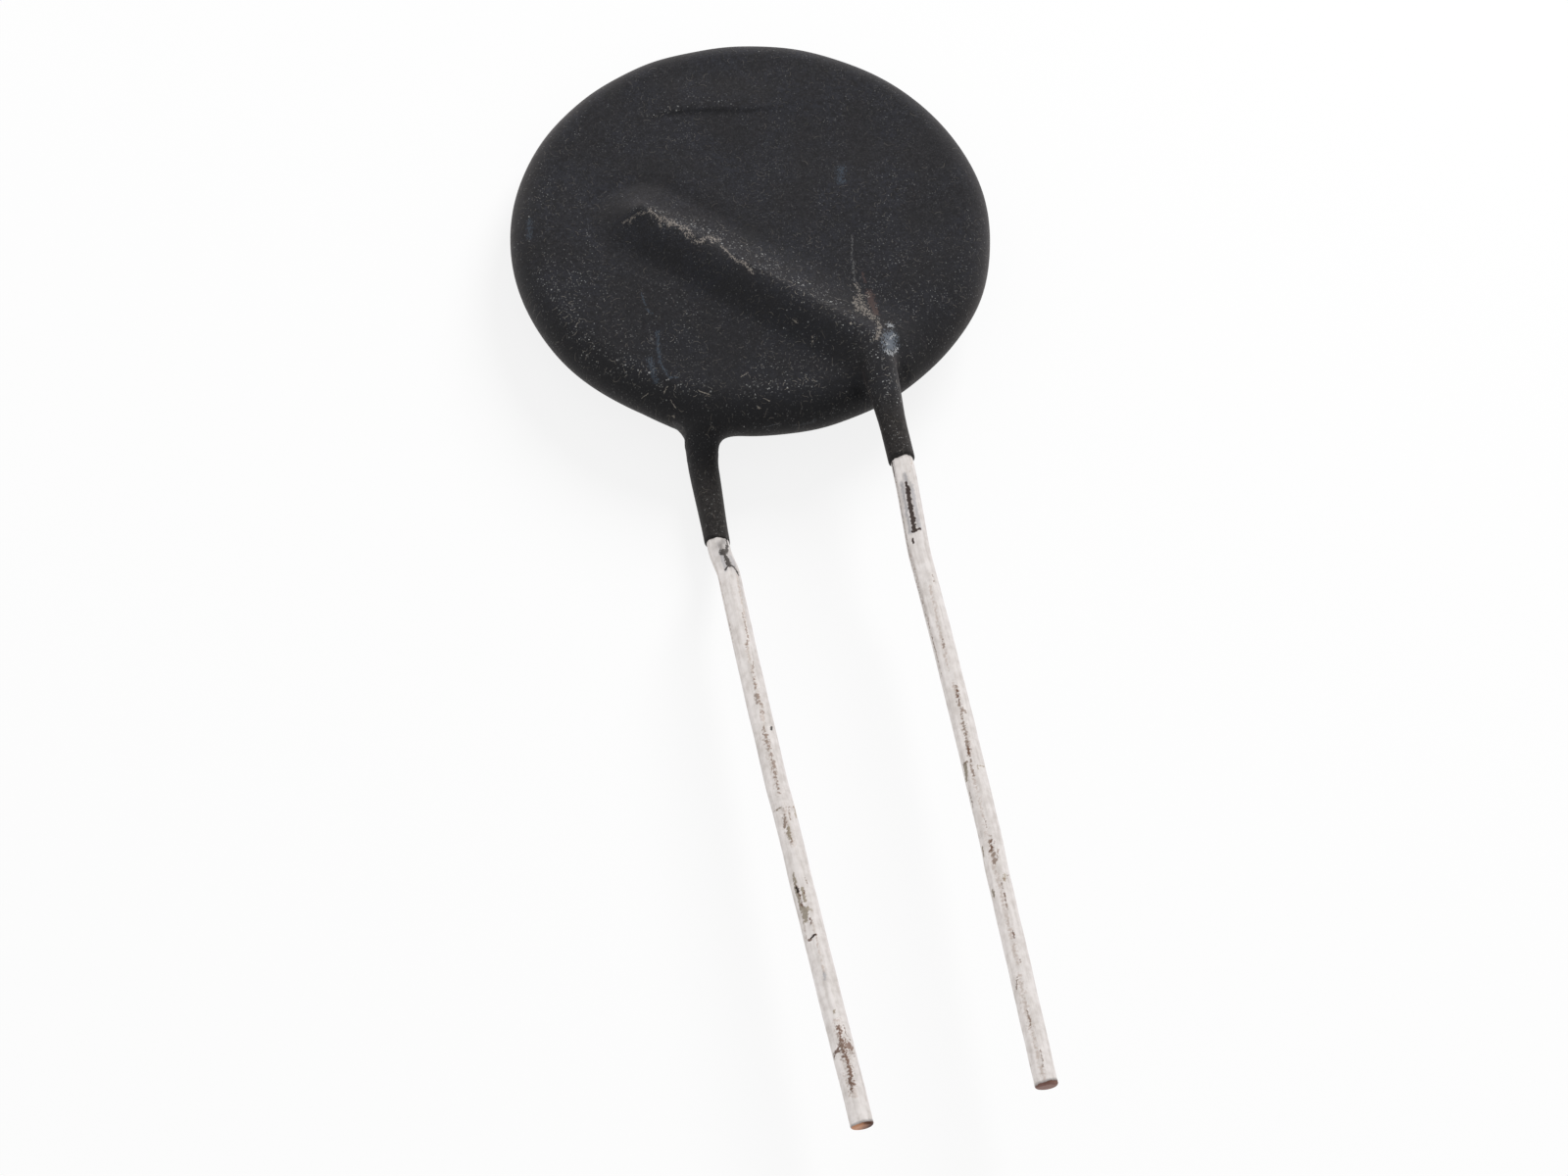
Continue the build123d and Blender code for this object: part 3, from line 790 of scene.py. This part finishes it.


# Stains and a slit on each wire by tone, with painted shade in the shaded tone and a painted shadow in one
# umber stroke, as strokes: how far right of the wire's top line and the Y of one end, the same of the other,
# and the width, in millimetres
wireMarks = {"front_wire": {
    "smeared": [
        (-0.1, -30.2, -0.12, -33.0, 0.44), (-0.08, -33.4, -0.08, -35.6, 0.66),
        (-0.06, -35.6, -0.05, -40.4, 0.5), (-0.14, -41.0, -0.12, -43.6, 0.7),
        (-0.1, -43.8, -0.05, -46.0, 0.5), (-0.38, -18.9, -0.4, -25.5, 0.2), (0.05, -21.0, -0.05, -25.4, 0.4),
        (0.0, -26.2, 0.0, -29.9, 0.5), (0.46, -15.0, 0.26, -15.7, 0.2)],
    # painted shade: a grey-blue halo round the slit
    "shaded": [
        (0.2, -16.3, 0.2, -18.1, 0.5), (-0.22, -16.1, -0.22, -18.2, 0.4), (0.0, -15.8, 0.0, -16.6, 0.4)],
    "olive": [
        (-0.34, -30.2, -0.42, -30.9, 0.36), (-0.43, -34.4, -0.43, -34.8, 0.2),
        (-0.37, -36.6, -0.37, -36.9, 0.24), (0.46, -30.4, 0.18, -30.45, 0.11),
        (0.16, -30.45, 0.16, -30.64, 0.11), (0.3, -36.0, 0.2, -36.3, 0.3)],
    "brown": [
        (0.0, -23.8, -0.02, -24.25, 0.16), (0.12, -26.3, 0.08, -26.6, 0.24), (0.06, -26.6, 0.04, -27.5, 0.36),
        (0.1, -27.5, 0.2, -27.7, 0.26), (0.0, -27.7, 0.02, -28.15, 0.34), (0.0, -28.2, 0.0, -28.8, 0.38),
        (-0.05, -28.8, -0.03, -29.25, 0.26), (-0.05, -29.3, -0.05, -29.85, 0.34),
        (-0.2, -30.15, -0.44, -30.15, 0.12), (-0.06, -30.1, -0.1, -30.9, 0.2),
        (-0.08, -33.1, -0.06, -33.6, 0.14), (0.0, -34.1, -0.04, -35.35, 0.42),
        (0.2, -34.75, 0.1, -35.3, 0.16), (0.45, -35.95, 0.3, -36.2, 0.16), (0.3, -36.2, 0.18, -36.25, 0.16),
        (0.06, -36.4, 0.07, -36.7, 0.18), (0.05, -37.5, 0.05, -37.75, 0.16),
        (-0.4, -31.2, -0.44, -32.3, 0.16), (-0.2, -41.0, -0.34, -41.5, 0.16), (-0.1, -42.7, -0.1, -43.5, 0.2),
        (0.08, -44.7, 0.05, -45.5, 0.14), (0.28, -20.35, 0.3, -20.48, 0.13),
        (0.3, -20.68, 0.28, -20.74, 0.13), (0.09, -40.25, 0.09, -40.33, 0.14),
        (-0.44, -15.5, -0.45, -19.4, 0.12), (-0.45, -19.4, -0.4, -25.4, 0.1)],
    "rusty": [
        (0.08, -26.5, 0.05, -27.1, 0.14), (-0.05, -29.45, -0.06, -29.8, 0.24),
        (0.02, -34.3, -0.04, -34.7, 0.2), (-0.05, -34.6, -0.2, -34.72, 0.14),
        (0.08, -36.92, 0.08, -37.08, 0.18), (0.07, -37.2, 0.06, -37.38, 0.16),
        (0.08, -38.85, 0.07, -39.2, 0.17)],
    "umber": [
        (0.0, -16.4, -0.03, -18.2, 0.3), (-0.02, -16.15, -0.02, -16.4, 0.16),
        (0.24, -18.15, -0.14, -18.2, 0.13), (-0.19, -18.48, -0.17, -18.64, 0.16),
        # the stroke below is a painted shadow: a thin dark line along the wire's lower side where it leaves
        # the sleeve
        (-0.45, -14.95, -0.46, -15.6, 0.12)],
}, "back_wire": {
    "smeared": [
        (0.36, -18.6, 0.25, -22.2, 0.24), (0.1, -22.4, 0.1, -26.6, 0.44), (0.0, -26.9, 0.0, -30.2, 0.6),
        (0.0, -31.0, 0.0, -32.8, 0.8), (0.04, -36.9, 0.02, -39.4, 0.24), (0.05, -41.8, 0.0, -45.4, 0.9),
        (-0.45, -16.2, -0.44, -22.0, 0.18), (-0.2, -44.2, -0.2, -45.4, 0.4),
        (-0.28, -36.6, -0.38, -37.5, 0.2)],
    # painted shade: round the dark marks by the kink, and one small patch further down
    "shaded": [
        (0.36, -17.2, 0.34, -18.0, 0.44), (-0.05, -16.9, -0.08, -18.3, 0.34), (0.0, -39.4, 0.0, -39.7, 0.3)],
    "olive": [
        (0.46, -30.9, 0.45, -31.4, 0.24), (-0.1, -30.9, -0.3, -30.95, 0.16),
        (0.02, -32.0, -0.02, -32.55, 0.34), (-0.02, -35.1, -0.03, -35.75, 0.26),
        (-0.27, -34.3, -0.28, -36.2, 0.26), (0.12, -36.2, -0.2, -36.2, 0.24),
        (-0.04, -36.1, -0.26, -36.7, 0.34), (-0.2, -36.0, -0.26, -36.5, 0.3),
        (0.05, -41.3, 0.05, -41.4, 0.2)],
    "brown": [
        (0.25, -20.7, 0.24, -22.0, 0.16), (0.2, -22.2, 0.05, -22.55, 0.16), (0.2, -23.35, 0.16, -23.75, 0.22),
        (0.08, -23.9, 0.07, -24.75, 0.24), (0.05, -25.1, 0.0, -25.5, 0.36), (0.14, -25.4, 0.14, -26.0, 0.3),
        (0.03, -26.85, 0.03, -27.95, 0.42), (0.06, -28.0, 0.06, -28.55, 0.36),
        (0.04, -28.65, 0.04, -29.7, 0.28), (0.02, -29.8, 0.02, -30.2, 0.28),
        (0.45, -30.95, -0.45, -30.93, 0.1), (0.22, -31.0, 0.18, -31.6, 0.18),
        (-0.05, -31.35, -0.12, -31.9, 0.34), (0.02, -32.5, 0.02, -32.75, 0.14),
        (0.2, -34.6, 0.24, -34.9, 0.13), (-0.44, -20.8, -0.43, -21.45, 0.13)],
    "rusty": [
        (-0.24, -34.8, -0.2, -35.95, 0.2), (0.04, -35.2, 0.02, -35.6, 0.16), (0.3, -42.0, 0.3, -42.5, 0.2),
        (0.04, -42.1, 0.0, -42.9, 0.44), (0.28, -42.75, 0.34, -43.4, 0.5), (0.02, -42.7, -0.02, -43.5, 0.66),
        (0.36, -43.1, -0.4, -43.2, 0.46), (-0.15, -43.0, -0.42, -43.3, 0.3), (0.08, -43.3, 0.05, -44.0, 0.36),
        (0.08, -44.1, 0.02, -44.9, 0.5), (0.0, -44.5, -0.1, -45.15, 0.4), (0.04, -36.63, -0.05, -36.7, 0.18),
        (0.04, -36.8, -0.08, -36.95, 0.18), (0.05, -37.48, -0.28, -37.6, 0.26)],
    "black": [
        (0.42, -15.5, 0.42, -16.15, 0.11), (0.4, -16.1, 0.26, -16.7, 0.2), (0.3, -16.6, 0.08, -17.05, 0.4),
        (0.1, -17.1, 0.12, -17.5, 0.24), (0.13, -17.5, 0.12, -18.05, 0.36), (0.06, -18.1, -0.1, -18.22, 0.2),
        (0.14, -17.95, 0.32, -18.16, 0.2), (0.32, -18.16, 0.43, -18.6, 0.14),
        (-0.26, -34.95, -0.24, -35.2, 0.13), (0.37, -26.75, 0.34, -26.88, 0.13),
        (0.1, -16.7, 0.06, -17.0, 0.44), (0.02, -37.48, -0.2, -37.56, 0.12)],
}}
tinLook = {
    "bright": (0.80, 0.757, 0.737), "dull": (0.63, 0.585, 0.555), "smeared": (0.53, 0.43, 0.37),
    # shaded is painted shade, round the slit and the kink
    "shaded": (0.33, 0.33, 0.36), "olive": (0.32, 0.26, 0.18), "brown": (0.25, 0.172, 0.128),
    "rusty": (0.165, 0.085, 0.052), "umber": (0.042, 0.021, 0.0145), "black": (0.019, 0.0145, 0.012),
    # fringe: painted shade at the edge of the cut
    "fringe": (0.17, 0.15, 0.145), "burnt": (0.10, 0.045, 0.03),
    "roughness": (0.34, 0.54), "stainRoughness": 0.25, "metallic": (0.85, 0.1), "specular": 0.25,
    "grain": ({"Scale": 9.0}, {"Scale": 2.5}), "dulling": (0.35, 0.7),
    "wobbles": ((2.5, 0.12), (9.0, 0.14)), "eating": (0.36, 0.64),
    # how far past the line of bare copper the fringe, the copper and its bright part come in
    "fringeEdge": (-0.16, 0.02), "bareEdge": (-0.02, 0.04), "brightEdge": (0.04, 0.3), "fringeShare": 0.75,
    # the streaks' fineness across the wire and along it, and how far round its map the wire's top is
    "drawnOut": (6.0, 0.5, 1.0), "topLine": 0.477, "markRadius": 0.5,
    # how far the noise eats into each tone, how solid it is and how soft its edge
    "tones": {"smeared": (0.9, 0.6, 0.8), "shaded": (0.4, 0.55, 0.8), "olive": (0.6, 0.75, 0.35),
              "brown": (0.95, 0.7, 0.4), "rusty": (0.78, 0.85, 0.55), "umber": (0.45, 0.93, 0.2),
              "black": (0.5, 0.93, 0.2)},
}


def makeTin(name, wire):
    material, tree, shader = newMaterial("tinned_" + name)
    look = tinLook
    fromMap = addNode(tree, "UVMap", uv_map="wireMap").outputs[0]
    position = discPosition(tree)
    across, fromWires, height = addNode(tree, "SeparateXYZ", {"Vector": position}).outputs
    fine, medium = (useGroup(tree, grainGroup, position, **size) for size in look["grain"])
    streaks = useGroup(tree, grainGroup, vectorMaths(tree, "MULTIPLY", fromMap, look["drawnOut"]))
    dulling = weighed(tree, (medium, 0.5), (streaks, 0.5))
    colour = mixColour(tree, ramp(tree, dulling, *look["dulling"]), look["bright"], look["dull"])

    # Stains and painted shade are placed round the wire by its map and along it by Y. How far round a place
    # is from the top line comes from how far right it is, by the arc sine.
    middle = look["topLine"] * 2 * pi * wireShape["radius"]
    aroundWire = addNode(tree, "SeparateXYZ", {"Vector": fromMap}).outputs[0]
    flat = addNode(tree, "CombineXYZ", {"X": aroundWire, "Y": fromWires}).outputs[0]
    uneven = wobbled(tree, flat, look["wobbles"])
    noise = ramp(tree, weighed(tree, (fine, 0.7), (medium, 0.3)), *look["eating"])
    stainsAndShade = None
    for tone, marks in wireMarks[name].items():
        placed = np.array(marks)
        placed[:, [0, 2]] = middle + np.arcsin(placed[:, [0, 2]] / look["markRadius"]) * look["markRadius"]
        eaten, solid, edge = look["tones"][tone]
        mask = times(tree, strokes(tree, uneven, placed.tolist(), noise, eaten, edge), solid)
        colour = mixColour(tree, mask, colour, look[tone])
        stainsAndShade = mask if stainsAndShade is None else maths(tree, "MAXIMUM", stainsAndShade, mask)

    # Bare copper shows on the sheared end, past a grey fringe of painted shade at the cut's edge, and is
    # burnt towards its upper right
    rightward = minus(tree, across, wire["tip"][0])
    upward = minus(tree, height, wire["tip"][2])
    slant = tan(radians(wireShape["shear"]))
    past = plus(tree, minus(tree, wire["bareFrom"], fromWires), weighed(
        tree, (rightward, 0.1), (upward, -slant), (minus(tree, fine, 0.5), 0.12)))
    bare = ramp(tree, past, *look["bareEdge"])
    fresh = plus(tree, past, times(tree, medium, 0.2), times(tree, rightward, -wire["burn"]))
    tipColour = mixColour(tree, ramp(tree, fresh, *look["brightEdge"]), look["burnt"], wire["copper"])
    fringed = ramp(tree, past, *look["fringeEdge"], 0.0, look["fringeShare"])
    colour = mixColour(tree, fringed, colour, look["fringe"])
    colour = mixColour(tree, bare, colour, tipColour)
    dull = maths(tree, "MAXIMUM", stainsAndShade, times(tree, bare, 0.6))
    rough = ramp(tree, dulling, 0.3, 0.8, *look["roughness"])
    setInputs(tree, shader, {
        "Base Color": colour,
        "Normal": relief(tree, weighed(tree, (streaks, 0.6), (medium, 0.5)), 0.4, 0.02),
        "Roughness": plus(tree, rough, times(tree, dull, look["stainRoughness"])),
        "Metallic": ramp(tree, dull, 0.0, 1.0, *look["metallic"]),
        "Specular IOR Level": look["specular"]})
    return material


# The finishes inside the coat: two colours mottled together, how fine the mottling is, and the range of
# the roughness
insideLooks = {
    "sintered_ceramic": {"dark": (0.06, 0.055, 0.05), "light": (0.13, 0.12, 0.11), "scale": 14.0,
                         "roughness": (0.7, 0.9), "metallic": 0.0},
    "fired_silver": {"dark": (0.62, 0.61, 0.58), "light": (0.82, 0.81, 0.78), "scale": 10.0,
                     "roughness": (0.35, 0.55), "metallic": 1.0},
    "solder": {"dark": (0.42, 0.42, 0.43), "light": (0.68, 0.68, 0.68), "scale": 3.0,
               "roughness": (0.2, 0.4), "metallic": 1.0},
}


def makeInside(name, look):
    material, tree, shader = newMaterial(name)
    grain = useGroup(tree, grainGroup, discPosition(tree), Scale=look["scale"], Detail=4.0)
    setInputs(tree, shader, {
        "Base Color": mixColour(tree, ramp(tree, grain, 0.3, 0.7), look["dark"], look["light"]),
        "Normal": relief(tree, grain, 0.3, 0.02),
        "Roughness": ramp(tree, grain, 0.2, 0.8, *look["roughness"]),
        "Metallic": look["metallic"]})
    return material


# Everything is made, put in its place and tied to the frame
makeCamera()
makeStudio()
coatPiece = makeCoat()
coatPiece.data.materials.append(makeResin())
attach(coatPiece, "root")
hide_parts("coating")
for side, wire in wires.items():
    piece = makeWire(side + "_wire", wire)
    piece.data.materials.append(makeTin(side + "_wire", wire))
    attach(piece, "root")
    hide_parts(side + "_lead")
print("coat and wires in place")

slotOfNode = {part["node"]: part["material_slot"] for part in frame["record"]["subparts"]}
insideMaterials = {name: makeInside(name, look) for name, look in insideLooks.items()}
for name, piece in frame["nodes"].items():
    if slotOfNode[name] in insideMaterials:
        piece.data.materials.clear()
        piece.data.materials.append(insideMaterials[slotOfNode[name]])
print("inner pieces finished")
